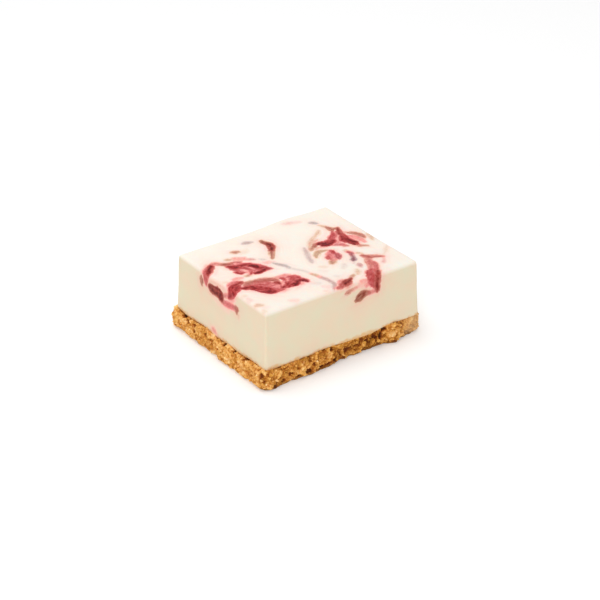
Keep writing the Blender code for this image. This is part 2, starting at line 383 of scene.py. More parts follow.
def crumb_finish():
    """Golden baked crumb. Each crumb has its own tone. Shade is painted into hollows and low places, and a
    contact shadow along the foot next to the table.
    """
    material, tree, shader = new_finish("baked_crumb", Roughness=0.75, Specular_IOR_Level=0.2)
    where = put(tree, "TexCoord").outputs["Object"]
    along = put(tree, "SeparateXYZ", None, Vector=where).outputs
    grain = clouds(tree, where, 1500.0, 5.0, 0.65)
    speck = put(tree, "TexVoronoi", None, Vector=where, Scale=900.0)
    level = math_of(tree, "MULTIPLY_ADD", value_of(tree, "tone"), 0.34, 0.35)
    level = math_of(tree, "MULTIPLY_ADD", grain, 0.4, level)
    colour = ramp(
        tree,
        level,
        (0.0, (124, 68, 12)),
        (0.2, (164, 102, 24)),
        (0.4, (214, 150, 60)),
        (0.55, (238, 180, 94)),
        (0.7, (250, 200, 124)),
        (0.9, (254, 222, 164)),
    )
    # painted shade: the lower a place lies in the crumb relief, the darker it is made
    recess_shade = spread(tree, value_of(tree, "lift"), -0.7, 0.05, 0.8, 0.0)
    colour = blend(tree, recess_shade, colour, (202, 138, 60), "MULTIPLY")
    # a brown fleck of bran in about one cell in ten
    bran = spread(tree, speck.outputs["Distance"], 0.1, 0.22, 0.7, 0.0)
    chance = put(tree, "SeparateColor", None, Color=speck.outputs["Color"]).outputs["Red"]
    rare = spread(tree, chance, 0.88, 0.92)
    colour = blend(tree, math_of(tree, "MULTIPLY", bran, rare), colour, (124, 70, 24))
    # cream smeared down over the crumbs at the far end of the long side
    far_end = math_of(tree, "MULTIPLY_ADD", clouds(tree, where, 260.0, 3.0), 8.0 * MM, along["X"])
    smear = spread(tree, far_end, 30.0 * MM, 38.0 * MM, 0.0, 0.65)
    smear = math_of(tree, "MULTIPLY", smear, spread(tree, along["Y"], -24.0 * MM, -29.0 * MM))
    colour = blend(tree, smear, colour, (226, 188, 138))
    # painted shade in the hollows, and painted contact shadow along the foot
    colour = blend(tree, spread(tree, value_of(tree, "hollow_and_shade"), 0.3, 1.2, 0.0, 0.88), colour, (78, 38, 8))
    tree.links.new(colour, shader.inputs["Base Color"])
    bump = put(tree, "Bump", None, Strength=0.6, Distance=0.12 * MM, Height=grain)
    tree.links.new(bump.outputs["Normal"], shader.inputs["Normal"])
    return material


baked_crumb = crumb_finish()
base.data.materials.clear()
base.data.materials.append(baked_crumb)
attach(base, "root")
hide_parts("crumb_base")

# ------------------------------------------------------------------------------------------
# Crumbs that stand out of the base's torn sides: broken bits of biscuit, and finer ones between
# them. Each kind starts from a few broken shapes, which are copied, turned and half sunk.

BIT_SHAPES = 5
BREAKS = 3
# How far from a bit's middle it is broken off, on a bit 1 mm across
NEAREST_BREAK = 0.2
FURTHEST_BREAK = 0.36
# A broken side is one face but several triangles, so this brings the ratio down to the count asked
SHARE_OF_FACES = 0.75
# Bits keep this far from the filling, unless they are well below its foot
CLEARANCE = 0.2
WELL_BELOW = 6.8


def broken_bit(seed, faces):
    """One crumb about 1 mm across, broken flat on some sides. Its points and faces."""
    bpy.ops.object.select_all(action="DESELECT")
    bpy.ops.mesh.primitive_ico_sphere_add(subdivisions=2, radius=0.5 * MM)
    bit = bpy.context.active_object
    bpy.ops.object.mode_set(mode="EDIT")
    bpy.ops.mesh.select_all(action="SELECT")
    bpy.ops.transform.vertex_random(offset=0.09 * MM, uniform=0.6, normal=0.4, seed=seed)
    chance = np.random.default_rng(seed)
    for _ in range(BREAKS):
        across = chance.normal(size=3)
        across /= np.linalg.norm(across)
        bpy.ops.mesh.select_all(action="SELECT")
        bpy.ops.mesh.bisect(
            plane_co=tuple(across * chance.uniform(NEAREST_BREAK, FURTHEST_BREAK) * MM),
            plane_no=tuple(across),
            use_fill=True,
            clear_outer=True,
        )
    bpy.ops.object.mode_set(mode="OBJECT")
    thin = bit.modifiers.new("few_faces", "DECIMATE")
    thin.ratio = faces / max(len(bit.data.polygons), 1) * SHARE_OF_FACES
    bpy.ops.object.modifier_apply(modifier=thin.name)
    bit.data.calc_loop_triangles()
    corners = points_of(bit)
    sides = np.array([triangle.vertices[:] for triangle in bit.data.loop_triangles])
    bpy.data.objects.remove(bit)
    return corners, sides


def strew(name, seed, faces, count, smallest, largest, sunk):
    """Crumbs in one mesh, set at random on the base's open sides, but not in its hollows."""
    chance = np.random.default_rng(seed)
    kinds = [broken_bit(seed + i, faces) for i in range(BIT_SHAPES)]
    ground = points_of(base)
    outward = normals_of(base)
    clear_of_filling = (
        (ground[:, 0] < foot_low.x - CLEARANCE)
        | (ground[:, 0] > foot_high.x + CLEARANCE)
        | (ground[:, 1] < foot_low.y - CLEARANCE)
        | (ground[:, 1] > foot_high.y + CLEARANCE)
        | (ground[:, 2] < WELL_BELOW)
    )
    # off the table, not on the underside, and not in a hollow
    open_side = clear_of_filling & (ground[:, 2] > 0.5) & (outward[:, 2] > -0.6) & (hollow_and_shade < 0.4)
    all_corners, all_sides, tones, contact_shades = [], [], [], []
    total = 0
    for place in chance.choice(np.flatnonzero(open_side), count, replace=False):
        corners, sides = kinds[chance.integers(len(kinds))]
        # the power makes small bits the most common
        size = smallest + (largest - smallest) * chance.random() ** 2.2
        turn = Matrix.Rotation(chance.uniform(0, math.tau), 3, Vector(chance.normal(size=3)))
        stretch = size * chance.uniform(0.75, 1.25, 3)
        shaped = corners * stretch @ np.array(turn)
        shaped += ground[place] - outward[place] * size * sunk
        shaped[:, 2] = np.maximum(shaped[:, 2], 0.02)
        all_corners.append(shaped)
        all_sides.append(sides + total)
        own_tone = 0.8 * tone[place] + chance.normal(0.0, 0.35)
        tones.append(np.full(len(corners), np.clip(own_tone, -1.3, 1.2)))
        # each bit takes the painted contact shadow of the place it sits on
        contact_shades.append(np.full(len(corners), rim_contact_shade[place]))
        total += len(corners)
    mesh = bpy.data.meshes.new(name)
    mesh.from_pydata((np.vstack(all_corners) * MM).tolist(), [], np.vstack(all_sides).tolist())
    piece = bpy.data.objects.new(name, mesh)
    bpy.context.scene.collection.objects.link(piece)
    keep_value(piece, "tone", np.concatenate(tones))
    keep_value(piece, "lift", np.zeros(total))
    keep_value(piece, "hollow_and_shade", np.concatenate(contact_shades))
    mesh.materials.append(baked_crumb)
    mesh.shade_flat()
    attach(piece, "root")


strew("coarse_crumbs", seed=11, faces=60, count=320, smallest=0.8, largest=2.0, sunk=0.2)
strew("fine_crumbs", seed=31, faces=24, count=3000, smallest=0.3, largest=0.8, sunk=0.05)

# ------------------------------------------------------------------------------------------
# The filling: a block of set cream cheese, cut with a hot knife. Strawberry puree was dragged
# through it before it set, so the marbling lies in the surface and shows on the cut sides too.

FILLING_GRID = 0.36 * MM
# How far the foot is pressed into the crumbs, and how far up the block is drawn down with it
FOOT_SINK = 0.6
SINK_HEIGHT = 2.5
BASE_HEIGHT = 7.6
BLOCK_HEIGHT = 23.3
FOOT_LENGTH = 72.0
FOOT_WIDTH = 59.6
SIDE_LEAN = 1.05
TOP_HALF_LENGTH = FOOT_LENGTH / 2 - SIDE_LEAN
TOP_HALF_WIDTH = FOOT_WIDTH / 2 - SIDE_LEAN

filling = skin_of("cheesecake_filling", "marbled_filling", FILLING_GRID)
close_hidden(filling, lambda centre, normal: normal.z < -0.9)
select_only(filling)
soften = filling.modifiers.new("soften", "SMOOTH")
soften.factor = 0.5
soften.iterations = 4
bpy.ops.object.modifier_apply(modifier=soften.name)
points = points_of(filling)
foot_level = foot_low.z
points[:, 2] -= FOOT_SINK * (1.0 - smooth_step(0.0, SINK_HEIGHT, points[:, 2] - foot_level))

middle = (foot_low + foot_high) / 2
top_level = BASE_HEIGHT + BLOCK_HEIGHT


def left(y, down, reach):
    """A place so far down the left side, as if that side were folded up level with the top."""
    return (-TOP_HALF_LENGTH - down, y, reach)


def front(x, down, reach):
    """A place so far down the long front side, as if that side were folded up level with the top."""
    return (x, -TOP_HALF_WIDTH - down, reach)


# Each streak of puree: how deep its colour is (below 0 it is a thread of cream), its hue (-1 is
# mauve or grey, 0 is crimson, 1 is brown or tan), and the places that it runs through. A place is
# x and y from the middle of the top, and how far the streak reaches to each side there.
STREAKS = (
    # near swirl: the outer arc, which comes up the left side and turns back on the top
    (0.62, 0.1, left(9.5, 4.5, 0.7), left(9.9, 2.5, 1.5), (-35, 10, 2), (-33, 11.5, 1.7), (-31, 13, 1.2)),
    (0.84, 0.25, (-35.2, 9, 0.6), (-34, 9.8, 1.2), (-32.5, 11.3, 1.2), (-30.9, 12.8, 1.3),
     (-30.3, 13.8, 0.6)),
    (0.48, 0.25, (-30, 14, 0.8), (-28.5, 14.2, 1), (-27.8, 13.6, 1.1), (-26.2, 12, 1)),
    (0.65, 0.85, (-26.5, 12, 0.6), (-25.2, 11.2, 1.2), (-24, 10.3, 0.9)),
    (0.66, 0.85, left(12.5, 2.5, 0.5), left(12.6, 4, 1.1), left(12.5, 5.5, 0.8)),
    (0.25, 0, (-31.5, 15, 0.6), (-33.8, 12.6, 1.2), left(11.5, 2, 1)),
    # near swirl: the upper leaf, its dark bands, and the pink threads between them
    (0.6, -0.1, (-25.3, 10, 0.8), (-23.8, 8, 2.6), (-21, 5, 3.8), (-18.5, 2.5, 3.9), (-16.5, 1, 3),
     (-14.5, -0.7, 1.4), (-13.2, -1.8, 0.4)),
    (0.85, 0, (-25.2, 9.5, 0.6), (-24.3, 8, 1.5), (-22.5, 7.2, 1.3), (-20, 7.2, 1), (-18, 6.2, 1.1)),
    (0.5, 0.3, (-25, 10.8, 0.8), (-22.4, 10.6, 1.1), (-20, 9.5, 1)),
    (0.93, 0.1, (-18.2, 5.2, 0.9), (-17.3, 4.2, 1.4), (-17, 2.8, 1.4), (-17.4, 2, 0.6)),
    (0.84, -0.2, (-16.8, 1.5, 0.9), (-15.4, 0.6, 1.5), (-14.3, -0.5, 1.1), (-13.3, -1.5, 0.4)),
    (0.85, 0.1, (-20.3, -0.9, 0.6), (-19, -1, 1), (-17.5, -1, 1.1), (-16, -0.8, 1)),
    (0.7, 0, (-21.5, -0.5, 0.6), (-20.8, 0.8, 0.8), (-20.3, 1.8, 0.6)),
    (0.75, 0, (-25.2, 4.2, 0.6), (-25, 3, 1), (-24.1, 2.4, 1.1), (-23.3, 1.8, 0.5)),
    (-0.45, 0, (-22.8, 4.2, 0.4), (-22, 2.2, 0.7), (-21.8, 1, 0.5)),
    (-0.35, 0, (-19.3, 3.8, 0.3), (-18.8, 2.5, 0.6), (-18.9, 1.2, 0.4)),
    (-0.3, 0, (-23, 10, 0.3), (-22, 9.6, 0.6), (-21, 9.3, 0.3)),
    (0.38, 0.8, (-24.5, -0.8, 0.5), (-23.5, -1, 0.9), (-21.8, -0.8, 0.8)),
    (0.3, 0, (-29.5, -0.5, 0.8), (-28, -0.6, 1.3), (-26, -1, 0.8)),
    # near swirl: the spots and thin veils behind the upper leaf
    (0.48, 0.8, (-18, 17.7, 0.5), (-16.9, 17.1, 1), (-15.6, 16.6, 0.6)),
    (0.33, 0.9, (-23.3, 14.2, 0.4), (-22.4, 13.8, 0.9), (-21.3, 13, 0.4)),
    (0.3, 0.1, (-20.1, 12.9, 1.4), (-19, 12, 1.6), (-17.7, 11.2, 1.5), (-16.5, 9.8, 0.8)),
    (0.36, -0.5, (-16.2, 9.6, 0.6), (-15.3, 9, 0.9), (-14, 8, 0.4)),
    (0.12, 0.8, (-15.5, 14.5, 0.8), (-13.5, 15, 1.3), (-12, 16.5, 0.6)),
    (0.25, -1, (-12.5, 7.2, 0.3), (-11.6, 6.3, 0.7), (-10.8, 5.6, 0.3)),
    (0.22, -0.1, (-12.8, 4, 0.8), (-11.3, 3.1, 1.6), (-9.5, 2.2, 0.8)),
    (0.4, -0.9, (-10.5, 21, 0.5), (-9, 20.7, 1), (-7, 20.1, 0.5)),
    # near swirl: the hook, brown at its top and grey-brown at its thin end
    (0.7, 0.9, (-3.3, 18.9, 0.6), (-3.4, 17.6, 1), (-2.9, 16.2, 1.2)),
    (0.84, 0.4, (-2.9, 16.2, 1), (-2.5, 14.5, 1.4), (-2.9, 12.6, 1.3), (-4.5, 10.5, 0.8)),
    (0.58, 0.8, (-4.5, 10.5, 0.8), (-6.1, 8.2, 0.8), (-7.5, 6.2, 0.6), (-8.3, 5, 0.3)),
    # near swirl: the blob on the left side, its tail, and the veils round them
    (0.88, 0.6, left(7, 4.5, 1.2), left(5.3, 4.9, 1.8), left(3.3, 4.7, 1.8), left(1.5, 4.8, 2),
     left(0.3, 5.5, 1.9), left(-0.5, 6.6, 1)),
    (0.97, 0.3, left(3.3, 3.9, 1), left(2.2, 3.8, 1.1), left(0.8, 4.5, 1.2), left(0.3, 5.5, 1),
     left(0.2, 6.3, 0.6)),
    (0.52, 0, left(-0.4, 6.5, 1.3), left(-1.6, 6.9, 1.3), left(-3.5, 6.9, 1.3), left(-5.7, 6.8, 1.4),
     left(-8, 6.5, 1.3), left(-9.5, 6.5, 1)),
    (0.62, 0.85, left(-9.3, 6.2, 0.7), left(-10, 6.4, 1.1), left(-10.4, 7.8, 0.7)),
    (0.25, 0.8, left(-10.8, 8, 0.7), left(-11.5, 8.5, 0.8), left(-11.7, 9.8, 0.5)),
    (0.45, 0.3, left(-0.8, 4.8, 0.8), left(-2.5, 4, 1), left(-4.3, 3.3, 0.8)),
    (0.2, 0.3, left(8, 3, 0.8), left(6, 2, 1), left(2, 1.5, 1), left(-1.5, 1.6, 1.3), left(-3.3, 1, 0.8)),
    (0.15, 0, left(4, 7.8, 0.8), left(3, 8.2, 1), left(0, 9, 0.8), left(-5, 9.5, 1)),
    (0.3, 0.3, left(5, 20.8, 0.8), left(4, 21.3, 1.3), left(2.5, 22, 0.8)),
    # near swirl: the bright mass that runs over the left edge
    (0.82, 0, (-29, -3.5, 0.8), (-31, -4.5, 1.6), (-32.5, -5.5, 2.3), (-34, -6.5, 2.5), left(-7, 0.5, 2.4),
     left(-6.5, 1.8, 1.8), left(-5.6, 2.9, 1.2), left(-5, 3.8, 0.6)),
    (0.9, 0.1, left(-6.5, 2.2, 0.6), left(-5.7, 2.7, 1), left(-5, 3.6, 0.5)),
    (0.8, 0.3, (-30, -4, 0.6), (-28.8, -3.7, 1), (-28, -3.6, 0.5)),
    (0.5, 0, (-33.5, -3, 0.8), (-31.5, -2.5, 1.2), (-29.5, -2.5, 1)),
    (0.28, 0, left(-5.8, 4.2, 0.7), left(-6.8, 4.3, 1.2), left(-8.3, 3.2, 0.8)),
    (0.18, 0.8, (-34.5, 0.2, 0.5), (-33.5, -0.3, 0.9), (-32, -0.8, 0.5)),
    # near swirl: the long lower leaf, darkest along its lower side
    (0.88, 0, (-30.8, -7.2, 0.5), (-29.3, -8.4, 1.2), (-27.4, -9.2, 1.6), (-26.2, -10.9, 2.2),
     (-24.9, -13, 2.4), (-23.6, -15, 2.3), (-22.5, -16.6, 1.2), (-21.3, -17.4, 0.5)),
    (0.97, 0, (-24.8, -13.4, 0.6), (-23.8, -14.6, 1.2), (-23.2, -15.6, 0.8)),
    (0.95, 0.2, (-29.8, -8.2, 0.5), (-28.6, -8.6, 0.7), (-27.4, -8.7, 0.5)),
    (0.58, 0, (-28.5, -7, 1.2), (-25.5, -8, 2), (-23, -9.5, 2.6), (-21, -12, 2.8), (-19.8, -14.5, 2.8),
     (-19.5, -16.8, 1.6)),
    (0.68, 0.1, (-24.5, -8.3, 0.6), (-22.2, -9.8, 1.1), (-20.6, -10.7, 0.7)),
    (-0.2, 0, (-20, -13.6, 0.5), (-19.4, -14.3, 1), (-19.2, -15.2, 0.5)),
    (0.6, 0.5, (-28.8, -4.7, 0.8), (-25.7, -5.9, 1.2), (-22.5, -6.4, 1.3), (-20.5, -7.2, 1.5),
     (-18.5, -8.5, 1.5), (-17.5, -9.5, 1.4), (-17, -10.5, 1)),
    (0.52, 0.9, (-28.5, -6.4, 0.7), (-26.8, -5.8, 0.9), (-25.2, -5.3, 0.8)),
    (0.82, 0.25, (-18.4, -11, 0.6), (-17.4, -12, 1.1), (-17.4, -13, 0.6)),
    (0.38, 0.1, (-16.5, -8.3, 0.8), (-14.4, -9, 1.2), (-12, -9.2, 1.2), (-10.8, -9.8, 0.7)),
    (0.25, 0, (-21.5, -18, 0.8), (-19.5, -18.3, 1.2), (-17.5, -18.5, 0.7)),
    # near swirl: the lobe at the lower leaf's far end
    (0.7, 0, (-17, -16, 1.5), (-15.3, -15.2, 2.8), (-13, -14.2, 3.6), (-11.2, -13.2, 3), (-9.8, -14.2, 1.5)),
    (0.9, 0.05, (-18, -16, 0.8), (-16.8, -15.2, 1.3), (-15.4, -14.4, 1.2), (-14.7, -13.3, 0.7)),
    (0.92, 0, (-15.5, -16.8, 0.8), (-13.8, -16.6, 1.3), (-12.5, -16.4, 1.3), (-11.5, -15.6, 0.9)),
    (0.95, -0.1, (-11, -14.8, 1), (-9.5, -15.4, 1.2), (-8.3, -16.2, 0.9), (-8.1, -18, 0.4)),
    (0.72, 0.1, (-14.6, -10, 0.8), (-14.1, -11.1, 1.1), (-14.6, -12.4, 0.6)),
    (-0.35, 0, (-14.8, -13, 0.3), (-13.6, -12, 0.4), (-12.6, -10.8, 0.3)),
    (-0.55, 0, (-17, -14.8, 0.3), (-16.3, -13.3, 0.6), (-15.8, -11.8, 0.5)),
    (0.3, 0, (-12, -18, 0.6), (-10.9, -17.9, 1.2), (-9.8, -17.3, 0.6)),
    # faint marks towards the near corner
    (0.16, 0.9, (-34.3, -12.5, 0.6), (-33.5, -13.1, 1)),
    (0.18, -0.3, (-33.6, -15.5, 0.8), (-33.8, -17, 1.1)),
    (0.28, 0.85, (-34.3, -21.2, 0.6), (-33.6, -21.9, 1.1), (-32.5, -22.8, 0.6)),
    (0.18, 0.9, (-34.2, -26, 0.6), (-34.2, -26.8, 0.9)),
    (0.1, 0, (-33, -24, 1), (-32.5, -25, 1.5)),
    (0.15, 0.2, (-22, -26, 0.8), (-20.9, -26.7, 1.4), (-19.5, -27, 0.8)),
    # the thin line that was dragged from the near swirl towards the far one, and what lies beside it
    (0.38, -1, (-10, 1.5, 0.3), (-8.8, -0.9, 0.9), (-7.8, -3, 0.7), (-7.5, -5, 0.5)),
    (0.22, -1, (-7.3, -5.5, 0.5), (-5.5, -8.5, 0.7), (-4, -11.3, 0.5), (-3.5, -13.5, 0.5)),
    (0.35, 0.9, (-3.5, -13.8, 0.6), (-2.9, -15.1, 0.7), (-2.5, -17, 0.9)),
    (0.4, -0.8, (-2.3, -17.5, 0.8), (-1.8, -19.2, 0.9), (-1.4, -20.8, 0.8), (-1.3, -23.2, 0.8),
     (-1.6, -25.8, 0.8), (-3.4, -28, 0.6)),
    (0.15, 0, (-5.5, -24, 1), (-4.3, -25.8, 1.6), (-3, -27, 1)),
    (0.15, 0.3, (-7, -27.5, 0.8), (-5.8, -28, 0.8)),
    (0.14, -0.9, (-7, -20.5, 0.8), (-5.8, -21.3, 1.4)),
    (0.15, 0.8, (2.5, -11.5, 0.8), (3.8, -12.3, 1)),
    (0.15, -0.9, (2.5, -20.5, 0.6), (3.2, -21.2, 1)),
    (0.1, -0.6, (0.5, -13.5, 0.8), (2, -15.3, 1.2)),
    # far swirl: what comes in from the back, and the two spikes of the star
    (0.38, -1, (20.8, 20.3, 0.4), (21.9, 19.4, 0.9), (22.8, 18, 0.4)),
    (0.3, 0.9, (22.5, 16.5, 0.5), (23.4, 14.7, 0.9), (24, 13.5, 0.8)),
    (0.6, 0.7, (24, 13.5, 0.6), (24.3, 12, 1.1), (24.3, 10.5, 1)),
    (0.6, 0.8, (25, 11, 0.8), (26.9, 10.3, 0.9)),
    (0.74, 0.3, (26.9, 10.3, 0.6), (26, 8.3, 1.1), (25.2, 6.7, 1.2), (24.6, 3.6, 1.6)),
    (0.7, 0, (23.8, 9.8, 0.4), (22.3, 7.1, 1.1), (20.8, 5.6, 1.5), (19.5, 4, 1.5)),
    (0.5, 0, (24.9, 8.7, 0.7), (23.5, 6, 1.2), (21.7, 3.2, 1.2), (20.5, 1, 1)),
    # far swirl: the dark band through its middle
    (0.93, 0.15, (13, 4.2, 0.8), (13.9, 4, 1.4), (14.9, 3.2, 2), (15.9, 2.7, 2.1), (17.2, 3, 1.8)),
    (0.82, 0, (17, 3.2, 1.9), (18.3, 3.1, 1.9), (19.6, 2.9, 1.4)),
    (-0.42, 0, (23.2, 5.6, 0.4), (22.3, 4.2, 0.8), (21.5, 3, 1), (20.6, 1.8, 0.6)),
    (0.6, 0.8, (13, 4.3, 1.2), (12, 4.2, 1.1), (10.5, 3.4, 0.9)),
    (0.45, 0.8, (9.3, 2.8, 0.7), (8.3, 2.2, 1), (7.6, 1.6, 0.5)),
    (0.25, 0.3, (9.5, 5.5, 0.8), (12.7, 6.8, 1.3), (15, 7.5, 0.8)),
    (0.25, 0.2, (9.5, 0.8, 0.7), (11, 1.6, 1), (13.5, 0.5, 0.8)),
    (0.84, 0, (24.6, 3.6, 1.5), (23.7, 1.4, 2), (24.2, -0.5, 1.7)),
    (0.9, 0.2, (24.2, -0.8, 1.3), (24.6, -2.8, 1.8), (25, -4.2, 1)),
    (0.44, 0.7, (24.8, -5.2, 0.8), (25, -6.2, 1), (26.4, -7.2, 0.8), (27.5, -8, 0.4)),
    (0.52, -0.2, (17.3, 0, 0.7), (18.7, -0.6, 1.2), (20.5, -1.5, 1)),
    (0.48, 0.5, (19.8, -2.2, 0.8), (20.4, -2.7, 1.1), (21.3, -3.5, 0.6)),
    # far swirl: the salmon patch with a browned rim
    (0.38, 0, (26, 3.2, 0.8), (27.2, 1.3, 1.4), (28.1, -1, 1.6), (28.4, -3, 1.3), (28.5, -4.8, 0.7)),
    (0.56, 0.7, (27.8, 4.8, 0.5), (29.1, 3.8, 1), (30.2, 2.2, 1), (30.7, 0, 1.1), (30.8, -1.5, 0.7)),
    (0.32, 0.2, (26, 7.3, 0.5), (26.9, 6.1, 0.9), (28, 5, 0.5)),
    (0.25, 0.9, (33.4, -0.5, 0.8), (32.9, -3, 1.2), (32, -5, 0.5)),
    # far swirl: the thin arcs round it
    (0.28, 0.9, (20, 13.3, 0.4), (18.2, 11.8, 0.9), (16, 10.4, 0.7), (14, 9.2, 0.9), (11.8, 7.6, 0.9),
     (9.8, 5.5, 0.8), (8.4, 3.5, 0.7)),
    (0.3, -0.9, (6.5, 4.5, 0.5), (5.8, 2.9, 0.9), (4.4, -0.4, 0.9), (3.2, -3.4, 0.9), (2.5, -5.6, 0.9),
     (1.9, -6.9, 0.4)),
    (0.4, 1, (5.8, -4.2, 0.5), (6.8, -2.9, 0.9), (9, -1.2, 1.1), (11, -1.4, 0.8), (12.8, -1.9, 0.5)),
    # far swirl: its pink heart, with darker rims and a tail
    (0.44, 0, (13.3, -3, 0.8), (12.4, -5, 2), (11.4, -7.5, 2.5), (10.3, -9.5, 1.3)),
    (0.7, 0, (13.3, -2.9, 0.5), (13.7, -3.8, 0.9), (13.3, -5.2, 1)),
    (0.68, -0.3, (13.8, -6.3, 0.8), (13.4, -8, 1.3), (12.3, -9.5, 0.8)),
    (0.64, 0.1, (10.5, -5.8, 0.5), (9.2, -7.3, 1.1), (9.3, -8.8, 0.6)),
    (0.45, 0.9, (10, -9.8, 1), (8.5, -10.8, 1.2), (7.5, -11.8, 0.6)),
    # far swirl: the mauve hook, and the specks that follow it
    (0.36, 0.9, (18.1, -6.6, 0.8), (18.2, -7.5, 1)),
    (0.62, -0.3, (18.2, -7.8, 0.7), (18.6, -9.1, 1), (17.9, -10.3, 0.8)),
    (0.58, -0.7, (17.9, -10.3, 0.8), (17.5, -11.4, 0.8), (17, -12.6, 0.8)),
    (0.62, -0.9, (17, -12.6, 0.8), (16.3, -13.7, 1.1), (15.8, -14.6, 0.6)),
    (0.25, -0.8, (15.4, -15.3, 0.6), (14.5, -16.3, 0.3)),
    (0.4, -0.6, (16, -17.5, 0.4), (15.7, -18.7, 1), (15, -19.8, 0.4)),
    (0.24, 0.9, (12.5, -21, 0.6), (11.6, -22.4, 1.2), (10.5, -24, 0.6)),
    (0.16, -0.9, (11, -14.8, 0.9), (10.3, -15.8, 1.1), (9, -17, 0.8)),
    # far swirl: the bar, whose near end runs into the stroke below it
    (0.28, 0.8, (19.5, -9.8, 0.5), (21.1, -11.2, 0.9), (21.5, -12.5, 0.6)),
    (0.56, 0.45, (21, -13, 0.7), (21.8, -14.8, 1.3), (23.2, -15.9, 1.4), (25.1, -16.9, 1.2),
     (26.5, -17.8, 0.7), (27.3, -18.4, 0.3)),
    (0.28, -0.4, (27, -18.5, 0.5), (26, -20, 0.6), (24.3, -21.7, 0.9)),
    (0.17, 0.8, (28.5, -17, 0.5), (31.4, -14.5, 1), (33, -12.5, 0.5)),
    # far swirl: the broad stroke that falls over the front edge
    (0.42, 0.3, (21.6, -15.6, 1.2), (20.6, -18, 1.6), (19.6, -20, 1.9)),
    (0.52, 0.55, (20.5, -17, 0.9), (19.4, -19.2, 1.2), (18.9, -20.7, 1), (17, -23, 0.7)),
    (0.54, 0.2, (21.3, -19.5, 0.8), (20.7, -21.5, 1.2), (19.2, -24, 1.2), (17.5, -26.5, 1.3)),
    (0.48, 0, (20.5, -18.5, 1), (19.3, -21, 1.3), (18.4, -22.5, 1.6), (17.5, -24.1, 1.8)),
    (0.74, 0.15, (15.3, -24, 0.7), (14.1, -25.9, 1), (12.8, -28, 0.9)),
    (0.66, 0, (17, -24.5, 1.5), (15.6, -27, 2.3), (14.8, -28.4, 2.5), front(14, 1, 2.4),
     front(14.3, 2.7, 1.9), front(15, 4, 1.4)),
    (0.78, 0.5, (18.3, -26, 0.7), (16.9, -28, 1.1), front(16.2, 2.7, 1.3), front(15.9, 4.2, 1.1),
     front(16, 5.8, 1.1), front(15.8, 6.8, 0.5)),
    (0.46, 0.2, front(15.3, 6.6, 0.7), front(13.3, 6.2, 0.9), front(12.2, 6.4, 0.9)),
    (0.76, 0.9, front(6.3, 7.4, 0.8), front(7.7, 7, 1.5), front(9.1, 6.2, 1.4), front(10.2, 5.9, 1)),
    (0.62, 0.45, front(10.2, 5.9, 1), front(12.2, 6.2, 0.8)),
    (0.22, 0, front(7.9, 1.8, 1.5), front(10, 3, 1.5), front(11.5, 3, 1.2)),
    (0.35, 0.1, front(8.5, 0.5, 0.7), front(9.4, 0.8, 1), front(10.9, 0.8, 0.8)),
    (0.4, 0.1, front(11.1, 2.8, 1), front(12.2, 2.4, 1)),
    # the dark tip at the front edge, and the streaks under it
    (0.88, 0.45, (6.3, -25.2, 0.5), (5.2, -25.8, 0.8), (3.4, -26.5, 1.6), (2.6, -27.3, 1.2)),
    (0.42, 0.85, (9, -23.6, 0.3), (7.9, -24.1, 0.7), (6.5, -25, 0.6)),
    (0.64, 0.3, (3.8, -27.8, 0.8), (1.3, -27.3, 1.3), (-0.6, -28.1, 0.8), (-2.5, -28.3, 0.4)),
    (0.42, -0.1, (2.6, -24.4, 0.6), (2, -24.9, 1), (0.5, -26, 0.8)),
    (0.32, 0.1, front(1.5, 1, 0.5), front(2.7, 0.8, 0.8), front(4.5, 0.5, 0.5)),
    (0.5, 0.7, front(1.2, 3.4, 0.4), front(2.4, 3, 0.9), front(4, 2.6, 0.7)),
    (0.4, 0.3, front(4.5, 2.7, 0.6), front(6.4, 2.3, 0.5)),
    # a faint smear near the back edge
    (0.22, -0.3, (11, 25.3, 0.4), (12.8, 24.6, 1.1), (15, 24, 0.8), (18, 23, 0.4)),
)

STEPS_BETWEEN = 4
# In millimetres: the least that a streak reaches to each side, and how far off it still counts
LEAST_REACH = 0.15
FAR_AWAY = 12.0


def smooth_route(places):
    """Points on a smooth curve through a streak's places, still as if folded up level."""
    places = np.array(places)
    ends = np.vstack([2 * places[0] - places[1], places, 2 * places[-1] - places[-2]])
    ends[:, 2] = np.maximum(ends[:, 2], LEAST_REACH)
    route = []
    for before, start, stop, after in zip(ends, ends[1:], ends[2:], ends[3:]):
        for step in range(STEPS_BETWEEN):
            t = step / STEPS_BETWEEN
            bend = (2 * before - 5 * start + 4 * stop - after) * t**2
            turn = (3 * start - before - 3 * stop + after) * t**3
            route.append(0.5 * (2 * start + (stop - before) * t + bend + turn))
    return np.array(route + [places[-1]])


def folded_down(route):
    """The route on the block: what is past the top's left or front edge goes down that side."""
    down_left = np.maximum(-route[:, 0] - TOP_HALF_LENGTH, 0.0)
    down_front = np.maximum(-route[:, 1] - TOP_HALF_WIDTH, 0.0)
    lean = SIDE_LEAN / BLOCK_HEIGHT
    x = middle.x + np.maximum(route[:, 0], -TOP_HALF_LENGTH) - lean * down_left
    y = middle.y + np.maximum(route[:, 1], -TOP_HALF_WIDTH) - lean * down_front
    return np.stack([x, y, top_level - down_left - down_front, route[:, 2]], 1)


